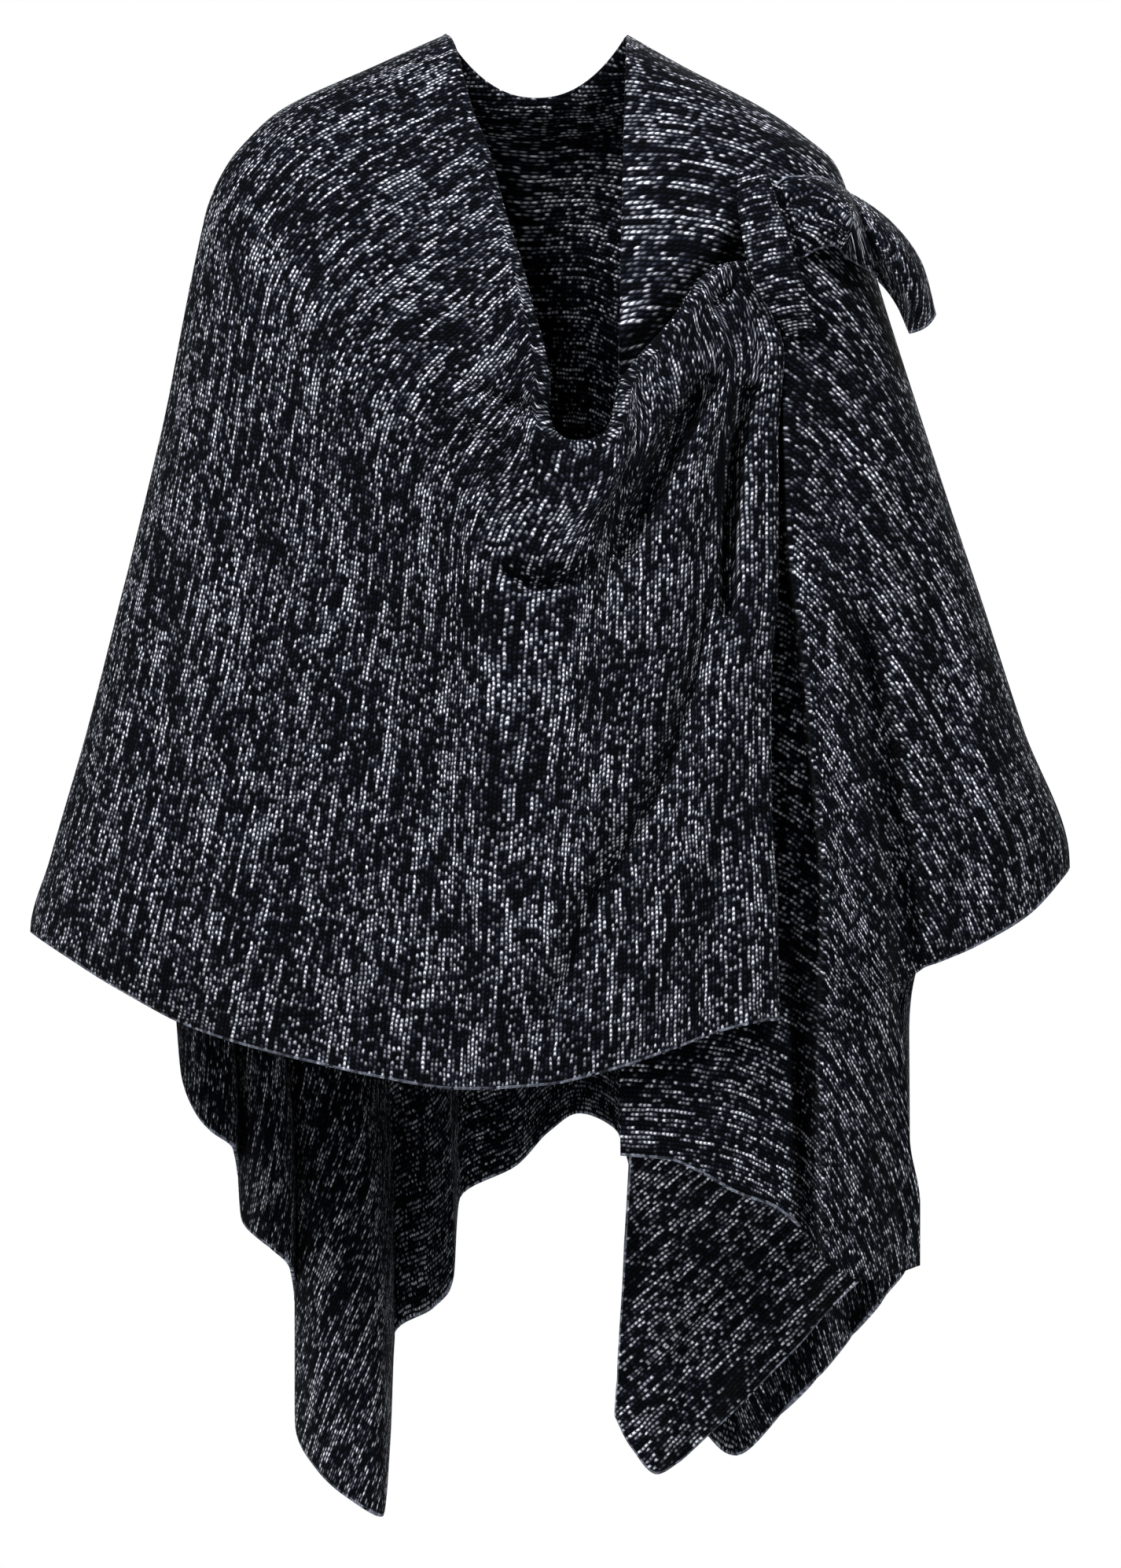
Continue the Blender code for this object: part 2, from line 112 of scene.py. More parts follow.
def border(points, at):
    points = np.array(points, dtype=float)
    steps = np.linalg.norm(np.diff(points, axis=0), axis=1)
    knots = np.concatenate(([0.0], np.cumsum(steps))) / np.sum(steps)
    return np.stack([smoothLine(knots, points[:, 0], at), smoothLine(knots, points[:, 1], at)], axis=-1)


def section(column, down):
    return smoothLine(sections[:, 0], sections[:, column], down)


def frontY(x, down):
    reach = np.where(x < 0, section(1, down), section(2, down))
    share = np.clip(np.abs(x) / reach, 0.0, 1.0)
    power = garment["squareness"]
    return -section(3, down) * (1 - share ** power) ** (1 / power)


def slowStart(count, share=0.34):
    a = np.linspace(0.0, 1.0, count)
    slow = a * a / (2 * share * (1 - share / 2))
    even = (a - share / 2) / (1 - share / 2)
    return np.where(a < share, slow, even)


def foldHeight(folds, x, down):
    # each row: start, bend and end of a line in (x, down), then width and height of the fold
    total = np.zeros_like(x)
    steps = np.linspace(0.0, 1.0, 33)
    for x0, down0, x1, down1, x2, down2, width, height in folds:
        lineX = (1 - steps) ** 2 * x0 + 2 * steps * (1 - steps) * x1 + steps ** 2 * x2
        lineDown = (1 - steps) ** 2 * down0 + 2 * steps * (1 - steps) * down1 + steps ** 2 * down2
        reach = 3.2 * width
        near = ((x > lineX.min() - reach) & (x < lineX.max() + reach)
                & (down > lineDown.min() - reach) & (down < lineDown.max() + reach))
        if not near.any():
            continue
        px = x[near]
        pd = down[near]
        best = np.full(px.shape, 1e9)
        place = np.zeros(px.shape)
        for i in range(len(steps) - 1):
            ex = lineX[i + 1] - lineX[i]
            ed = lineDown[i + 1] - lineDown[i]
            t = np.clip(((px - lineX[i]) * ex + (pd - lineDown[i]) * ed) / (ex * ex + ed * ed), 0, 1)
            apart = np.hypot(px - lineX[i] - t * ex, pd - lineDown[i] - t * ed)
            closer = apart < best
            best = np.where(closer, apart, best)
            place = np.where(closer, steps[i] + t / (len(steps) - 1), place)
        fade = np.sin(math.pi * np.clip(0.12 + 0.76 * place, 0, 1)) ** 0.7
        steep = 4.0 if abs(height) > garment["deepFold"] else 2.0
        total[near] += height * fade * np.exp(-((best / width) ** steep))
    return total


def patch(top, bottom, start, end, u, v):
    u = u[None, :, None]
    v = v[:, None, None]
    across = (1 - v) * top[None, :, :] + v * bottom[None, :, :]
    along = (1 - u) * start[:, None, :] + u * end[:, None, :]
    corners = ((1 - u) * (1 - v) * top[0] + u * (1 - v) * top[-1]
               + (1 - u) * v * bottom[0] + u * v * bottom[-1])
    return across + along - corners


def ripple(x, down, seed):
    # slow waves of a few centimetres, so that no stretch is perfectly smooth
    waves = np.zeros_like(x)
    for i, (wx, wd) in enumerate(((71, 190), (43, 260), (97, 61), (29, 140))):
        waves += np.sin(x / wx * 6.283 + down / wd * 6.283 + seed * 1.7 + i * 2.1) / (1 + 0.6 * i)
    return garment["ripple"] * waves


def arc(grid, axis):
    # running length along the rows or columns of a grid, in millimetres
    steps = np.linalg.norm(np.diff(grid, axis=axis), axis=-1)
    first = np.zeros_like(np.take(steps, [0], axis=axis))
    return np.concatenate([first, np.cumsum(steps, axis=axis)], axis=axis)


def unit(vectors):
    return vectors / np.maximum(np.linalg.norm(vectors, axis=-1, keepdims=True), 1e-9)


def layKnit(grid, lean, guess):
    # place of each point on the uncut knit, fitted so that courses run at the angle lean below the horizontal
    normal = unit(np.cross(np.gradient(grid, axis=1), np.gradient(grid, axis=0)))
    course = np.stack([np.cos(lean), np.zeros_like(lean), -np.sin(lean)], axis=-1)
    course = unit(course - normal * np.sum(course * normal, axis=-1, keepdims=True))
    ways = np.stack([course, np.cross(normal, course)], axis=-1)
    sideways = np.einsum("ijk,ijkl->ijl", np.diff(grid, axis=1), (ways[:, 1:] + ways[:, :-1]) / 2)
    downwards = np.einsum("ijk,ijkl->ijl", np.diff(grid, axis=0), (ways[1:] + ways[:-1]) / 2)

    acrossLong = np.linalg.norm(np.diff(grid, axis=1), axis=-1, keepdims=True)
    downLong = np.linalg.norm(np.diff(grid, axis=0), axis=-1, keepdims=True)
    cellWide = np.linalg.norm(np.gradient(grid, axis=1), axis=-1, keepdims=True)
    cellHigh = np.linalg.norm(np.gradient(grid, axis=0), axis=-1, keepdims=True)
    acrossWeight = np.clip((cellHigh[:, 1:] + cellHigh[:, :-1]) / 2 / np.maximum(acrossLong, 0.01), 0.1, 10.0)
    downWeight = np.clip((cellWide[1:] + cellWide[:-1]) / 2 / np.maximum(downLong, 0.01), 0.1, 10.0)

    def gather(acrossSteps, downSteps):
        acrossPull = acrossSteps * acrossWeight
        downPull = downSteps * downWeight
        total = np.zeros(guess.shape)
        total[:, 1:] += acrossPull
        total[:, :-1] -= acrossPull
        total[1:] += downPull
        total[:-1] -= downPull
        return total

    place = guess.copy()
    left = gather(sideways - np.diff(place, axis=1), downwards - np.diff(place, axis=0))
    search = left.copy()
    size = np.sum(left ** 2)
    for _ in range(garment["fitSteps"]):
        pulled = gather(np.diff(search, axis=1), np.diff(search, axis=0))
        share = size / np.sum(search * pulled)
        place += share * search
        left -= share * pulled
        fresh = np.sum(left ** 2)
        search = left + fresh / size * search
        size = fresh
    return place


def makeWall(name, node, grid, flat, edge, seams=(), wall=None):
    # a closed thin shell on both sides of the grid; flat is its place on the uncut knit, edge the way to a free edge
    wall = wall or garment["wall"]
    normal = np.cross(np.gradient(grid, axis=1), np.gradient(grid, axis=0))
    if "start" in seams:
        normal[:, 0, 1] = 0.0
    if "end" in seams:
        normal[:, -1, 1] = 0.0
    if "top" in seams:
        normal[0, :, 1] = 0.0
    normal = unit(normal)
    rows, columns = grid.shape[:2]
    size = rows * columns
    points = np.concatenate([(grid + side * normal * wall / 2).reshape(-1, 3) for side in (1, -1)]) * 0.001
    index = np.arange(size).reshape(rows, columns)
    quads = np.stack([index[:-1, :-1], index[:-1, 1:], index[1:, 1:], index[1:, :-1]], axis=-1).reshape(-1, 4)
    rim = np.concatenate([index[0, :], index[1:, -1], index[-1, -2::-1], index[-2:0:-1, 0]])
    rimNext = np.roll(rim, -1)
    rimQuads = np.stack([rimNext, rim, rim + size, rimNext + size], axis=-1)
    faces = np.concatenate([quads, quads[:, ::-1] + size, rimQuads])
    a, b, c, d = (points[faces[:, i]] for i in range(4))
    volume = np.sum(np.cross(a, b) * c + np.cross(a, c) * d)
    if volume < 0:
        faces = faces[:, ::-1]
    mesh = bpy.data.meshes.new(name)
    mesh.from_pydata(points.tolist(), [], faces.tolist())
    layer = mesh.uv_layers.new(name="flat")
    flatPoints = np.concatenate([flat.reshape(-1, 2)] * 2) * 0.001
    layer.data.foreach_set("uv", flatPoints[faces.reshape(-1)].reshape(-1).astype(np.float32))
    attribute = mesh.attributes.new("edge", "FLOAT", "POINT")
    attribute.data.foreach_set("value", np.concatenate([edge.reshape(-1)] * 2).astype(np.float32))
    mesh.polygons.foreach_set("use_smooth", [True] * len(mesh.polygons))
    mesh.update()
    piece = bpy.data.objects.new(name, mesh)
    bpy.context.scene.collection.objects.link(piece)
    mesh.materials.append(marledKnit)
    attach(piece, "root")
    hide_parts(node)
    area = sum(p.area for p in mesh.polygons) / 2
    print(name, "made,", len(faces) * 2, "triangles,", round(area, 3), "square metres of knit")
    return piece


# Knit of space-dyed wool and acrylic: matt, near black navy with grey flecks in short dashes along its courses.
knit = {
    "stitch": 3.3,            # mm along a course
    "course": 3.0,            # mm from one course to the next
    "slant": 0.5,             # how far the legs of a stitch lean, in stitches
    "streakLength": 60.0,     # mm
    "streakCourses": 2.4,     # courses that share a streak
    "dyeRun": 24.0,           # mm of one colour along a single yarn
    "hair": 1.1,              # mm, size of the mottling inside a stitch
    "night": "#05070d",
    "slate": "#2b3244",
    "fleck": "#dadde5",
    "chain": "#8d94a4",       # cast-off chain along the hems, painted lighter as an edge highlight
    "darkShare": 0.43,
    "relief": 0.0010,         # m of stitch relief
    "roughness": 0.95,
    "specular": 0.03,
    "sheen": 0.004,
}


def linear(hexColour):
    channels = [int(hexColour[i:i + 2], 16) / 255 for i in (1, 3, 5)]
    return [c / 12.92 if c <= 0.04045 else ((c + 0.055) / 1.055) ** 2.4 for c in channels] + [1.0]


def addNode(tree, made, name, kind, settings=None, links=None):
    # settings: properties by name or inputs by number; links: input number to a made node, or to (node, output)
    node = tree.nodes.new("ShaderNode" + kind)
    for key, value in (settings or {}).items():
        if isinstance(key, int):
            node.inputs[key].default_value = value
        else:
            setattr(node, key, value)
    for key, source in (links or {}).items():
        source = source if isinstance(source, tuple) else (source, 0)
        tree.links.new(made[source[0]].outputs[source[1]], node.inputs[key])
    made[name] = node


def makeKnit():
    material = bpy.data.materials.new("marled_knit")
    material.use_nodes = True
    tree = material.node_tree
    shader = tree.nodes["Principled BSDF"]
    shader.inputs["Roughness"].default_value = knit["roughness"]
    shader.inputs["Specular IOR Level"].default_value = knit["specular"]
    shader.inputs["Sheen Weight"].default_value = knit["sheen"]
    mm = 1000.0
    rows = (
        ("place", "UVMap", {"uv_map": "flat"}),
        ("wander", "TexNoise", {2: 110.0, 3: 1.0}, {0: "place"}),
        ("centred", "VectorMath", {"operation": "SUBTRACT", 1: (0.5, 0.5, 0.5)}, {0: ("wander", 1)}),
        ("small", "VectorMath", {"operation": "SCALE", 3: 0.0024}, {0: "centred"}),
        ("moved", "VectorMath", {"operation": "ADD"}, {0: "place", 1: "small"}),
        ("split", "SeparateXYZ", {}, {0: "moved"}),
        # which course and which stitch, and the place inside it
        ("courses", "Math", {"operation": "MULTIPLY", 1: mm / knit["course"]}, {0: ("split", 1)}),
        ("course", "Math", {"operation": "FLOOR"}, {0: "courses"}),
        ("courseShare", "Math", {"operation": "FRACT"}, {0: "courses"}),
        ("fromMiddle", "Math", {"operation": "PINGPONG", 1: 0.5}, {0: "courses"}),
        ("courseChance", "TexWhiteNoise", {"noise_dimensions": "1D"}, {1: "course"}),
        ("lean", "Math", {"operation": "MULTIPLY_ADD", 1: knit["slant"]}, {0: "fromMiddle", 2: "courseChance"}),
        ("stitches", "Math", {"operation": "MULTIPLY_ADD", 1: mm / knit["stitch"]}, {0: "split", 2: "lean"}),
        ("stitch", "Math", {"operation": "FLOOR"}, {0: "stitches"}),
        ("cell", "CombineXYZ", {}, {0: "stitch", 1: "course"}),
        ("chance", "TexWhiteNoise", {"noise_dimensions": "2D"}, {0: "cell"}),
        # streaks of several courses, dye runs of one yarn and mottled hairs
        ("streakX", "Math", {"operation": "MULTIPLY", 1: mm / knit["streakLength"]}, {0: "split"}),
        ("streakY", "Math", {"operation": "DIVIDE", 1: knit["streakCourses"]}, {0: "course"}),
        ("streakPlace", "CombineXYZ", {}, {0: "streakX", 1: "streakY"}),
        ("streak", "TexNoise", {2: 1.0, 3: 2.0, 4: 0.55}, {0: "streakPlace"}),
        ("dyeX", "Math", {"operation": "MULTIPLY", 1: mm / knit["dyeRun"]}, {0: "split"}),
        ("dyeY", "Math", {"operation": "MULTIPLY", 1: 7.3}, {0: "course"}),
        ("dyePlace", "CombineXYZ", {2: 4.0}, {0: "dyeX", 1: "dyeY"}),
        ("dye", "TexNoise", {2: 1.0, 3: 1.0}, {0: "dyePlace"}),
        ("hair", "TexNoise", {2: mm / knit["hair"], 3: 1.0}, {0: "place"}),
        # brightness of each stitch
        ("withStreak", "Math", {"operation": "MULTIPLY_ADD", 1: 2.1}, {0: "streak", 2: "chance"}),
        ("withDye", "Math", {"operation": "MULTIPLY_ADD", 1: 1.7}, {0: "dye", 2: "withStreak"}),
        ("above", "Math", {"operation": "SUBTRACT", 1: 1.9 + knit["darkShare"]}, {0: "withDye"}),
        ("stretched", "Math", {"operation": "MULTIPLY", 1: 1.35, "use_clamp": True}, {0: "above"}),
        ("fleck", "Math", {"operation": "POWER", 1: 1.5}, {0: "stretched"}),
        ("aboveGrey", "Math", {"operation": "SUBTRACT", 1: 1.68 + knit["darkShare"]}, {0: "withDye"}),
        ("grey", "Math", {"operation": "MULTIPLY", 1: 1.1, "use_clamp": True}, {0: "aboveGrey"}),
        # rounded shape of a stitch, for its relief; it also darkens the colour toward the stitch's edges as painted
        # shade
        ("acrossTurn", "Math", {"operation": "MULTIPLY_ADD", 1: 2 * math.pi, 2: -math.pi}, {0: "courseShare"}),
        ("acrossWave", "Math", {"operation": "COSINE"}, {0: "acrossTurn"}),
        ("acrossShape", "Math", {"operation": "MULTIPLY_ADD", 1: 0.7, 2: 0.42, "use_clamp": True}, {0: "acrossWave"}),
        ("stitchShare", "Math", {"operation": "FRACT"}, {0: "stitches"}),
        ("alongTurn", "Math", {"operation": "MULTIPLY_ADD", 1: 2 * math.pi, 2: -math.pi}, {0: "stitchShare"}),
        ("alongWave", "Math", {"operation": "COSINE"}, {0: "alongTurn"}),
        ("alongShape", "Math", {"operation": "MULTIPLY_ADD", 1: 0.55, 2: 0.62, "use_clamp": True}, {0: "alongWave"}),
        ("bead", "Math", {"operation": "MULTIPLY"}, {0: "acrossShape", 1: "alongShape"}),
        ("mottle", "Math", {"operation": "MULTIPLY_ADD", 1: 1.3, 2: 0.15, "use_clamp": True}, {0: "hair"}),
        ("mottledBead", "Math", {"operation": "MULTIPLY"}, {0: "bead", 1: "mottle"}),
        # painted shade: the fleck is dimmed toward the stitch's edges by the stitch's rounded shape
        ("light", "Math", {"operation": "MULTIPLY"}, {0: "mottledBead", 1: "fleck"}),
        ("deep", "Mix", {"data_type": "RGBA", 6: linear(knit["night"]), 7: linear(knit["slate"])}, {0: "grey"}),
        # painted shade: the ground is darkened between the stitches, where their relief would be in shade
        ("valley", "Math", {"operation": "MULTIPLY_ADD", 1: 0.9, 2: 0.12}, {0: "bead"}),
        ("stitchShadedGround", "VectorMath", {"operation": "SCALE"}, {0: ("deep", 2), 3: "valley"}),
        ("flecked", "Mix", {"data_type": "RGBA", 7: linear(knit["fleck"])}, {0: "light", 6: "stitchShadedGround"}),
        # cast-off chain within 2 mm of a hem, painted lighter as an edge highlight
        ("edge", "Attribute", {"attribute_name": "edge"}),
        ("nearHem", "Math", {"operation": "LESS_THAN", 1: 1.9}, {0: ("edge", 2)}),
        # painted highlight: stitches near a hem take the lighter chain colour
        ("chainHighlightStitches", "Math", {"operation": "MULTIPLY"}, {0: "nearHem", 1: "chance"}),
        ("chainHighlightShare", "Math", {"operation": "MULTIPLY", 1: 0.6}, {0: "chainHighlightStitches"}),
        ("finished", "Mix", {"data_type": "RGBA", 7: linear(knit["chain"])}, {0: "chainHighlightShare", 6: ("flecked", 2)}),
        ("height", "Math", {"operation": "MULTIPLY_ADD", 1: 0.3}, {0: "mottle", 2: "bead"}),
        ("bump", "Bump", {0: 0.8, 1: knit["relief"]}, {3: "height"}),
    )
    made = {}
    for row in rows:
        addNode(tree, made, *row)
    tree.links.new(made["finished"].outputs[2], shader.inputs["Base Color"])
    tree.links.new(made["bump"].outputs[0], shader.inputs["Normal"])
    return material


marledKnit = makeKnit()
print("knit material made")

# Back: rows are folds of its lower edge; turn about the body in degrees, then x, down and y.
back = {
    "columns": 330,
    "rows": 140,
    "edge": (
        (0, -353, 626, 0.0), (9, -302, 644, 34), (16, -256, 672, 58), (20, -248, 732, 44), (24, -231, 764, 20),
        (28, -212, 780, 34), (31, -210, 800, 82), (35, -207, 829, 60), (39, -188, 847, 16), (43, -172, 864, 30),
        (45, -170, 890, 84), (48, -169, 972, 52), (52, -154, 1002, 8), (57, -131, 1023, -4), (61, -109, 1036, 8),
        (63, -104, 985, 48), (66, -101, 912, 92), (69, -74, 893, 74), (72, -60, 874, 60), (75, -56, 818, 104),
        (79, -14, 793, 120), (84, 8, 770, 132), (90, 30, 757, 140), (96, 56, 768, 134), (102, 76, 836, 108),
        (108, 96, 936, 78), (114, 118, 978, 56), (120, 140, 995, 42), (126, 172, 967, 62), (131, 197, 940, 34),
        (136, 222, 912, 64), (141, 244, 884, 36), (145, 261, 856, 44), (148, 262, 800, 66), (151, 262, 700, 88),
        (157, 272, 645, 94), (164, 305, 622, 72), (172, 343, 602, 40), (180, 372, 582, 0.0),
    ),
    "corners": (14, 22, 27),    # rows of the right corner's tip, the middle of the hem and the left corner's tip
}


def makeBack():
    table = np.array(back["edge"], dtype=float)
    places = np.arange(len(table), dtype=float)
    at = np.linspace(0.0, len(table) - 1, back["columns"])
    turnDegrees, edgeX, edgeDown, edgeY = (smoothLine(places, table[:, i], at) for i in range(4))
    turn = np.radians(turnDegrees)
    share = np.linspace(0.0, 1.0, back["rows"])[:, None] ** 1.35
    neckDown = garment["neckSag"] * np.sin(turn) ** 2
    down = neckDown + (edgeDown - neckDown) * share
    spread = np.clip((down - neckDown) / (1.0 + 34.0 * np.sin(turn)), 0.0, 1.0)
    spread = np.where(np.sin(turn) < 1e-6, 1.0, ease(spread))
    reach = np.where(turn < math.pi / 2, section(1, down), section(2, down))
    wide = garment["neckHalf"] + (reach - garment["neckHalf"]) * spread
    deep = garment["neckDepth"] + (section(4, down) - garment["neckDepth"]) * spread
    power = 2 / garment["squareness"]
    x = -np.sign(np.cos(turn)) * wide * np.abs(np.cos(turn)) ** power
    y = deep * np.abs(np.sin(turn)) ** power
    hang = ease((down - 0.42 * edgeDown) / (0.58 * edgeDown))
    free = ease(np.sin(turn) / 0.3)
    x = x + (edgeX - x * free - x[-1] * (1 - free)) * hang
    y = y + (edgeY - y * free - y[-1] * (1 - free)) * hang
    y = y + ripple(x, down, 1.0) * ease(share / 0.1) * ease(np.sin(turn) / 0.25)
    y[:, 0] = 0.0
    y[:, -1] = 0.0
    grid = np.stack([x, y + garment["seam"] / 2, -down], axis=-1)
    # place on the flat knit: each column runs from the neck to a point on the rectangle's outline
    halfWidth = garment["flatHalfWidth"]
    halfLength = garment["flatHalfLength"]
    stops = [0.0, *[float(c) for c in back["corners"]], len(table) - 1.0]
    outlineX = np.interp(at, stops, [-halfWidth, -halfWidth, 0.0, halfWidth, halfWidth])
    outlineDown = np.interp(at, stops, [0.0, halfLength, halfLength, halfLength, 0.0])
    along = arc(grid, 0)
    along = along / along[-1]
    neckX = -garment["neckHalf"] * np.cos(turn)
    flat = np.stack([neckX + (outlineX - neckX) * along, neckDown + (outlineDown - neckDown) * along], axis=-1)
    edge = arc(grid[::-1], 0)[::-1]
    piece = makeWall("back_drape", "back", grid, flat, edge, seams=("start", "end"))
    return piece


makeBack()

# Wrap: its borders as seen from the front, in (x, down), the roll of its slit edge and its folds.
wrap = {
    "columns": 230,
    "rows": 190,
    "slit": ((-63, 0), (-60, 4), (-56, 14), (-52, 31), (-44, 59), (-36, 78), (-21, 132), (-9, 170), (-3, 194),
             (6, 228), (9, 250), (8, 266), (12, 280), (26, 288), (42, 286), (52, 274), (57, 250), (70, 231),
             (92, 206), (114, 175), (124, 167), (137, 163)),
    "hem": ((-353, 626), (-285, 667), (-236, 692), (-183, 708), (-107, 725), (-51, 733), (8, 730), (44, 722),
            (90, 707), (128, 693), (158, 686)),
    "gap": ((137, 163), (142, 177), (150, 190), (157, 206), (161, 226), (159, 255), (157, 283), (157, 381),
            (152, 454), (152, 528), (156, 602), (158, 686)),
    "roll": ((0.00, 2.5, 0), (0.20, 4.0, 2), (0.42, 7.0, 4), (0.58, 10.0, 8), (0.72, 12.0, 13), (0.86, 12.0, 14),
             (1.00, 6.0, 8)),       # place along the slit edge, radius, lift
    "folds": (
        (116, 250, 90, 288, 60, 362, 9.5, -38),    # deep fold under the roll
        (100, 246, 74, 286, 46, 362, 13, 10),
        (112, 286, 96, 330, 84, 392, 13, 8),
        (145, 254, 131, 318, 132, 404, 7, -34),
        (151, 300, 149, 420, 140, 560, 10, 7),
        (136, 180, 130, 187, 121, 195, 3.5, -14),
        (62, 318, 58, 344, 50, 378, 9, -15),
        (117, 405, 96, 520, 37, 602, 7, -19),      # long diagonal crease
        (37, 602, 20, 650, 4, 694, 8, -12),
        (134, 420, 120, 545, 62, 690, 18, 10),
        (98, 400, 74, 520, 10, 620, 20, 7),
        (60, 400, 30, 520, -40, 700, 34, 6),
        (-20, 378, 4, 392, 28, 380, 7, -12),
        (-24, 360, 6, 370, 32, 362, 11, 6),
        (0.5, 300, 0, 314, 0.5, 334, 2.6, -5),
        (8, 300, 10, 320, 8, 350, 7, 4),
        (-50, 247, -22, 262, 6, 270, 5, -9),       # fold that runs into the cowl's lip
        (-56, 256, -26, 282, 16, 292, 7, 7),
        (-46, 258, -50, 272, -44, 286, 4, -5),
        (-70, 240, -62, 300, -44, 360, 9, -5),
        (-40, 150, -20, 220, -30, 262, 14, 6),
        (-120, 70, -90, 260, 20, 420, 20, -6),
        (-200, 110, -150, 330, -60, 560, 26, -8),
        (-150, 130, -110, 320, -20, 540, 26, 6),
        (-215, 240, -190, 430, -150, 700, 22, -9),
        (-262, 330, -260, 480, -235, 680, 16, -9),
        (-100, 600, -90, 660, -84, 720, 20, 5),
    ),
}


def makeWrap():
    columns = wrap["columns"]
    u = slowStart(columns)
    u = u + 0.22 * u * (1 - u)
    v = np.linspace(0.0, 1.0, wrap["rows"])
    slit = border(wrap["slit"], u)
    roll = np.array(wrap["roll"], dtype=float)
    radius = smoothLine(roll[:, 0], roll[:, 1], u)
    lift = smoothLine(roll[:, 0], roll[:, 2], u)
    along = np.gradient(slit, axis=0)
    along = along / np.linalg.norm(along, axis=1)[:, None]
    inward = np.stack([-along[:, 1], along[:, 0]], axis=-1)
    inward[0] = 0.0
    start = slit + inward * radius[:, None]
    side = border([(-row[1], row[0]) for row in sections if row[0] <= 626], v)
    flatShape = patch(start, border(wrap["hem"], u), side, border(wrap["gap"], v), u, v)
    x = flatShape[..., 0]
    down = flatShape[..., 1]
    x[:, 0] = -section(1, down[:, 0])
    rise = lift[None, :] * (1 - ease(v / 0.35))[:, None]
    near = ease(u / 0.12)[None, :]
    y = frontY(x, down) - (rise + foldHeight(wrap["folds"], x, down) - ripple(x, down, 2.0)) * near
    turns = np.radians(np.linspace(200, 12, 16))
    x = np.concatenate([np.array([start[:, 0] - inward[:, 0] * radius * math.sin(a) for a in turns]), x])
    down = np.concatenate([np.array([start[:, 1] - inward[:, 1] * radius * math.sin(a) for a in turns]), down])
    y = np.concatenate([np.array([y[0] + radius * (1 - math.cos(a)) * ease(u / 0.03) for a in turns]), y])
    for a in np.radians(np.linspace(18, 140, 8)):
        x = np.concatenate([x, (x[:, columns - 1] + 9.0 * math.sin(a))[:, None]], axis=1)
        down = np.concatenate([down, down[:, columns - 1][:, None]], axis=1)
        y = np.concatenate([y, (y[:, columns - 1] + 9.0 * (1 - math.cos(a)))[:, None]], axis=1)
    y[:, 0] = 0.0
    grid = np.stack([x, y - garment["seam"] / 2, -down], axis=-1)
    # courses run from the slit edge to the side edge, which is the hem here
    fromHem = arc(grid[::-1], 0)[::-1]
    spacing = np.median(arc(grid, 1), axis=0)
    flat = np.stack([-fromHem, np.broadcast_to(spacing[None, :], fromHem.shape)], axis=-1)
    piece = makeWall("wrap_drape", "front_wrap", grid, flat, fromHem, seams=("start",))
    return piece


makeWrap()

# Left front: its borders in (x, down) and its folds; it drops behind the wrap at the gap line.
left = {
    "before": 60,
    "wallColumns": 14,
    "after": 90,
    "rows": 200,
    "inner": ((63, 0.8), (61, 60), (58, 180), (57, 300), (57, 620), (58, 779)),
    "side": ((372, 582), (342, 613), (304, 635), (262, 654), (250, 667), (254, 705), (259, 774), (266, 815), (266, 858)),
    "hem": ((58, 779), (91, 782), (111, 790), (142, 807), (162, 814), (181, 828), (192, 842), (206, 858), (232, 866),
            (266, 858)),
    "courseLean": ((58, 0), (90, 6), (120, 14), (160, 30), (200, 45), (250, 57), (330, 66), (380, 68)),    # x, degrees
    "folds": (
        (182, 628, 184, 740, 189, 866, 8, -36),    # dark valley beside the lower panel
        (120, 700, 124, 760, 120, 820, 20, 5),
        (196, 380, 222, 520, 240, 690, 12, 13),
        (222, 420, 250, 540, 262, 690, 14, -30),
        (300, 420, 318, 520, 320, 620, 16, 9),
        (252, 330, 290, 450, 300, 640, 13, -10),
        (196, 230, 206, 330, 232, 460, 16, -8),
        (80, 60, 110, 120, 150, 150, 14, -5),
        (110, 60, 150, 90, 190, 100, 12, 4),
        (218, 720, 226, 780, 224, 860, 14, 8),
        (244, 700, 250, 770, 250, 850, 8, -8),
    ),
}


def gapAcross(column, down):
    return smoothLine(gapLine[:, 0], gapLine[:, column], down)


def leftY(x, down, folded):
    rollDown = 253 - (x - 55) * 1.04
    behind = ease((down - rollDown) / 34 + 1.1) * ease((gapAcross(1, down) - x) / garment["gapWall"])
    return frontY(x, down) + gapAcross(2, down) * behind - foldHeight(left["folds"], x, down) * folded


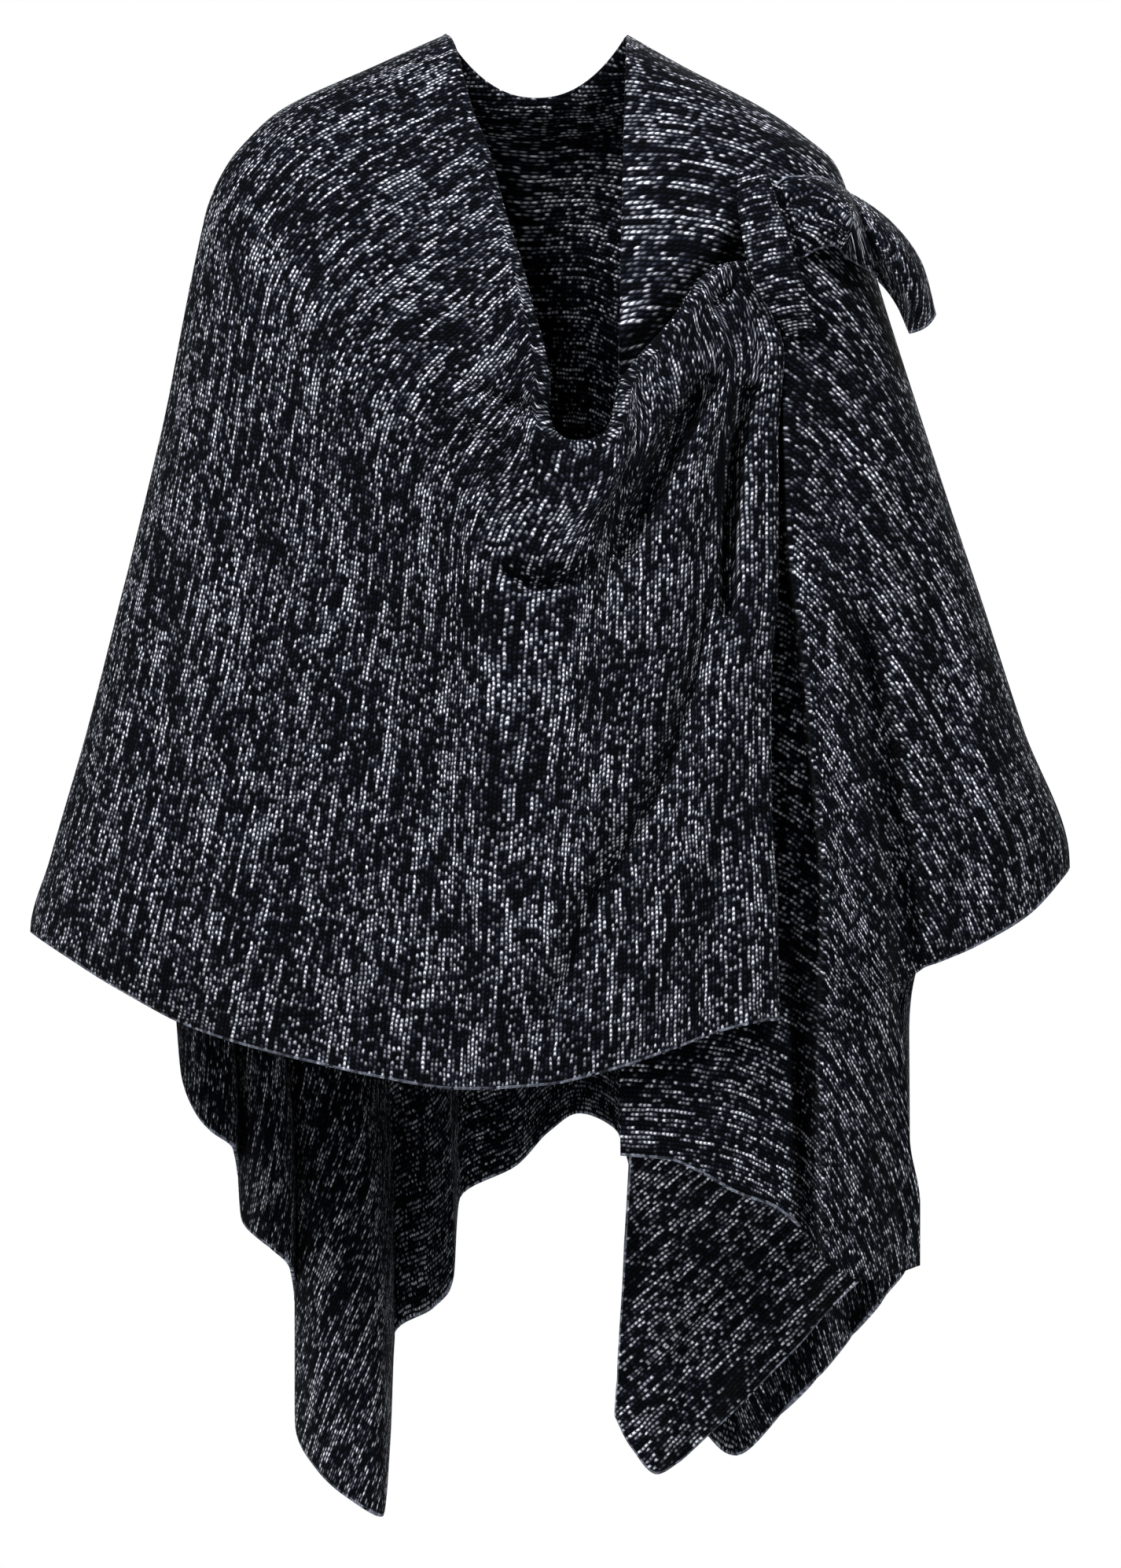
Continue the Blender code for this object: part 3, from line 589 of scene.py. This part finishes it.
def makeLeft():
    fine = np.linspace(0.0, 1.0, 481)
    v = slowStart(left["rows"])
    shoulder = [(row[2], row[0]) for row in sections if row[0] <= 575] + [left["side"][0]]
    shape = patch(border(shoulder, fine), border(left["hem"], fine), border(left["inner"], v), border(left["side"], v),
                  fine, v)
    x = []
    down = []
    across = []
    for row in shape:
        hit = int(np.argmax(row[:, 0] >= gapAcross(1, row[:, 1])))
        edge = fine[hit]
        start = max(edge - garment["gapWall"] / max(row[-1, 0] - row[0, 0], 1.0), 0.02)
        places = np.concatenate([np.linspace(0, start, left["before"]), np.linspace(start, edge, left["wallColumns"])[1:],
                                 np.linspace(edge, 1, left["after"])[1:]])
        x.append(np.interp(places, fine, row[:, 0]))
        down.append(np.interp(places, fine, row[:, 1]))
        across.append(places)
    x = np.array(x)
    down = np.array(down)
    across = np.array(across)
    x[0] = section(2, down[0])
    settled = ease(v / 0.1)[:, None]
    y = leftY(x, down, settled) + ripple(x, down, 3.0) * settled
    y[0] = 0.0
    grid = np.stack([x, y - garment["seam"] / 2, -down], axis=-1)
    # courses run from the slit edge to the side edge; toward the side they turn down with the drape
    fromSlit = arc(grid, 1)
    runDown = arc(grid, 0)
    lean = np.radians(smoothLine(*zip(*left["courseLean"]), x))
    lean = lean * (1 - 0.5 * ease((down - 640) / 60) * ease((200 - x) / 10))
    hung = np.stack([x, frontY(x, down), -down], axis=-1)
    flat = layKnit(hung, lean, np.stack([arc(hung, 1), arc(hung, 0)], axis=-1))
    edge = np.minimum(runDown[-1] - runDown + 40 * ease((x - 180) / 20),
                      fromSlit[:, -1:] - fromSlit + 40 * ease((down - 650) / 12))
    piece = makeWall("left_drape", "front_left", grid, flat, edge, seams=("top",))
    return piece


makeLeft()

# Corner of the left front, folded back: top x, down, y, then lower edge x, down, y.
corner = {
    "columns": 110,
    "rows": 90,
    "folds": ((138, 860, 105, 912, 60, 940, 7, -9), (180, 850, 140, 930, 92, 990, 11, 7)),
    "edge": (
        (66, 742, -92, 55, 962, -50), (78, 742, -84, 66, 984, -56), (92, 744, -92, 83, 1003, -46),
        (110, 748, -84, 98, 996, -30), (134, 756, -76, 121, 975, -38), (160, 768, -70, 150, 948, -20),
        (186, 782, -66, 180, 917, -30), (214, 800, -56, 206, 888, -10), (244, 822, -40, 236, 860, -18),
    ),
    "turnLine": ((138, 866), (63, 938)),     # the knit turns back on itself along this line
}


def makeCorner():
    table = np.array(corner["edge"], dtype=float)
    places = np.arange(len(table), dtype=float)
    at = np.linspace(0.0, len(table) - 1, corner["columns"])
    topX, topDown, topY, lowX, lowDown, lowY = (smoothLine(places, table[:, i], at) for i in range(6))
    v = np.linspace(0.0, 1.0, corner["rows"])[:, None]
    x = topX + (lowX - topX) * v
    down = topDown + (lowDown - topDown) * v
    y = topY + (lowY - topY) * ease(v * 0.5) * 2 - foldHeight(corner["folds"], x, down)
    nearby = [leftY(x + aside, down + drop, 1.0) for aside in (-8, 0, 8) for drop in (-6, 6)]
    against = np.max(nearby, axis=0) + garment["wall"] + garment["cornerRest"] + 1.5
    y = against + (y - against) * ease(v / 0.45)
    grid = np.stack([x, y, -down], axis=-1)
    (x0, d0), (x1, d1) = corner["turnLine"]
    lineX, lineDown = (x1 - x0) / math.hypot(x1 - x0, d1 - d0), (d1 - d0) / math.hypot(x1 - x0, d1 - d0)
    beyond = (x - x0) * lineDown - (down - d0) * lineX
    side = np.minimum(beyond, 0.0)
    foldX = x - 2 * side * lineDown
    foldDown = down + 2 * side * lineX
    flat = np.stack([(foldX - foldDown) * 0.7071, (foldX + foldDown) * 0.7071], axis=-1)
    runDown = arc(grid, 0)
    runAcross = arc(grid, 1)
    edge = np.minimum(runDown[-1] - runDown, runAcross)
    piece = makeWall("left_corner_drape", "front_left_corner", grid, flat, edge)
    return piece


makeCorner()

# Pulled-through end: x, down and lift of its upper side, ridge and lower side, one row a place along it.
pulledEnd = {
    "columns": 110,
    "rows": 60,
    "places": (
        (154, 112, 4, 160, 136, 6, 168, 160, 4),
        (166, 107, 4, 172, 134, 6, 181, 160, 4),
        (176, 102, 9, 186, 127, 22, 194, 153, 13),
        (194, 102, 17, 202, 122, 44, 207, 150, 24),
        (220, 113, 32, 220, 133, 66, 216, 158, 26),
        (248, 134, 44, 243, 152, 78, 237, 171, 42),
        (268, 163, 52, 260, 178, 82, 251, 189, 52),
        (277, 197, 56, 270, 206, 70, 260, 210, 60),
    ),
}


def makeEnd():
    table = np.array(pulledEnd["places"], dtype=float)
    places = np.arange(len(table), dtype=float)
    at = np.linspace(0.0, len(table) - 1, pulledEnd["columns"])
    line = [smoothLine(places, table[:, i], at) for i in range(9)]
    v = np.linspace(0.0, 1.0, pulledEnd["rows"])[:, None]
    weights = ((1 - v) * (1 - 2 * v), 4 * v * (1 - v), v * (2 * v - 1))
    x = sum(weights[i] * line[3 * i] for i in range(3))
    down = sum(weights[i] * line[3 * i + 1] for i in range(3))
    lift = sum(weights[i] * line[3 * i + 2] for i in range(3))
    pleats = 2.4 * np.cos(v * 6.2832 * 3) * (1 - ease(at / 4.0))
    grid = np.stack([x, frontY(x, down) - lift + pleats * ease(at / 1.2), -down], axis=-1)
    runAlong = arc(grid, 1)
    runAcross = arc(grid, 0)
    flat = np.stack([runAcross * 0.8 + runAlong * 0.6, runAlong * 0.8 - runAcross * 0.6], axis=-1)
    edge = np.minimum(np.minimum(runAcross, runAcross[-1] - runAcross), runAlong[:, -1:] - runAlong)
    piece = makeWall("end_drape", "wrap_end", grid, flat, edge)
    return piece


# Loop at the left shoulder: x, down, lift and width, one row a place along it.
loop = {
    "columns": 22,
    "rows": 90,
    "places": (
        (149, 98, 10, 20), (151, 114, 18, 25), (155, 134, 22, 29), (160, 155, 26, 32), (166, 175, 24, 32),
        (175, 194, 18, 26), (184, 213, 5.9, 20),
    ),
}


def makeLoop():
    table = np.array(loop["places"], dtype=float)
    places = np.arange(len(table), dtype=float)
    at = np.linspace(0.0, len(table) - 1, loop["rows"])
    lineX, lineDown, lift, width = (smoothLine(places, table[:, i], at)[:, None] for i in range(4))
    across = np.linspace(-0.5, 0.5, loop["columns"])[None, :] * width
    bow = 4.0 * (1 - (2 * across / width) ** 2) * ease(lift / 20)
    y = frontY(lineX, lineDown) + across * 0.25 - lift - bow
    grid = np.stack([lineX + across * 0.94, y, -(lineDown - across * 0.3)], axis=-1)
    runAcross = arc(grid, 1)
    flat = np.stack([runAcross, arc(grid, 0)], axis=-1)
    edge = np.full(lineX.shape, 9.0) + runAcross * 0
    piece = makeWall("loop_strip", "loop", grid, flat, edge)
    return piece


makeLoop()
makeEnd()

# Studio: a pale floor where the wearer would stand, soft light and a long lens.
studio = {
    "pixelSize": 0.00055,       # metres in one pixel of the frame
    "imageWidth": 1426,
    "imageHeight": 1994,
    "middleX": 682.5,           # pixel column of the neck's middle
    "neckRow": 46.0,            # pixel row of the neck points
    "distance": 9.0,
    "floorDown": 1.45,
    "floorRadius": 3.0,
    "floorColour": "#dedede",
    "surround": 0.10,           # strength of the white surround as a light; the camera sees it at 1
    "lights": (                 # name, watts, metres across, place
        ("key_light", 320.0, 1.0, (-1.7, -2.1, 2.5)),
        ("fill_light", 150.0, 1.0, (2.0, -2.1, 2.2)),
        ("front_light", 50.0, 0.5, (-0.7, -3.2, 1.2)),
        ("rim_light", 90.0, 2.0, (0.8, 3.0, 1.2)),
    ),
}

bpy.ops.object.select_all(action="DESELECT")
bpy.ops.mesh.primitive_circle_add(vertices=96, radius=studio["floorRadius"], fill_type="NGON",
                                  location=(0, 0, -studio["floorDown"]))
floor = bpy.context.object
floor.name = "studio_floor"
bpy.ops.object.transform_apply(location=True, rotation=True, scale=True)
paint = bpy.data.materials.new("matt_floor_paint")     # matt paint, pale and even
paint.use_nodes = True
paint.node_tree.nodes["Principled BSDF"].inputs["Base Color"].default_value = linear(studio["floorColour"])
paint.node_tree.nodes["Principled BSDF"].inputs["Roughness"].default_value = 0.9
floor.data.materials.append(paint)

world = bpy.data.worlds.new("white_surround")
bpy.context.scene.world = world
world.use_nodes = True
sky = world.node_tree
made = {"seen": sky.nodes["Background"]}
made["seen"].inputs[0].default_value = (1, 1, 1, 1)
addNode(sky, made, "dim", "Background", {0: (1, 1, 1, 1), 1: studio["surround"]})
addNode(sky, made, "path", "LightPath")
addNode(sky, made, "either", "MixShader", {}, {0: "path", 1: "dim", 2: "seen"})
sky.links.new(made["either"].outputs[0], sky.nodes["World Output"].inputs[0])
bpy.context.scene.view_settings.view_transform = "Standard"


def softLight(name, power, size, place, target):
    light = bpy.data.lights.new(name, "AREA")
    light.energy = power
    light.shape = "DISK"
    light.size = size
    lamp = bpy.data.objects.new(name, light)
    bpy.context.scene.collection.objects.link(lamp)
    lamp.location = place
    direction = np.array(target) - np.array(place)
    yaw = math.atan2(direction[0], -direction[1])
    pitch = math.atan2(math.hypot(direction[0], direction[1]), -direction[2])
    lamp.rotation_euler = (pitch, 0, yaw + math.pi)
    return lamp


for lightRow in studio["lights"]:
    softLight(*lightRow, (0.0, 0.0, -0.35))

camera = bpy.data.objects.new("camera", bpy.data.cameras.new("camera"))
bpy.context.scene.collection.objects.link(camera)
bpy.context.scene.camera = camera
frameHeight = studio["imageHeight"] * studio["pixelSize"]
camera.data.sensor_width = 36.0
camera.data.lens = 36.0 * studio["distance"] / frameHeight
camera.data.clip_end = 40.0
camera.location = ((studio["imageWidth"] / 2 - studio["middleX"]) * studio["pixelSize"], -studio["distance"],
                   -(studio["imageHeight"] / 2 - studio["neckRow"]) * studio["pixelSize"])
camera.rotation_euler = (math.pi / 2, 0, 0)
print("studio made")
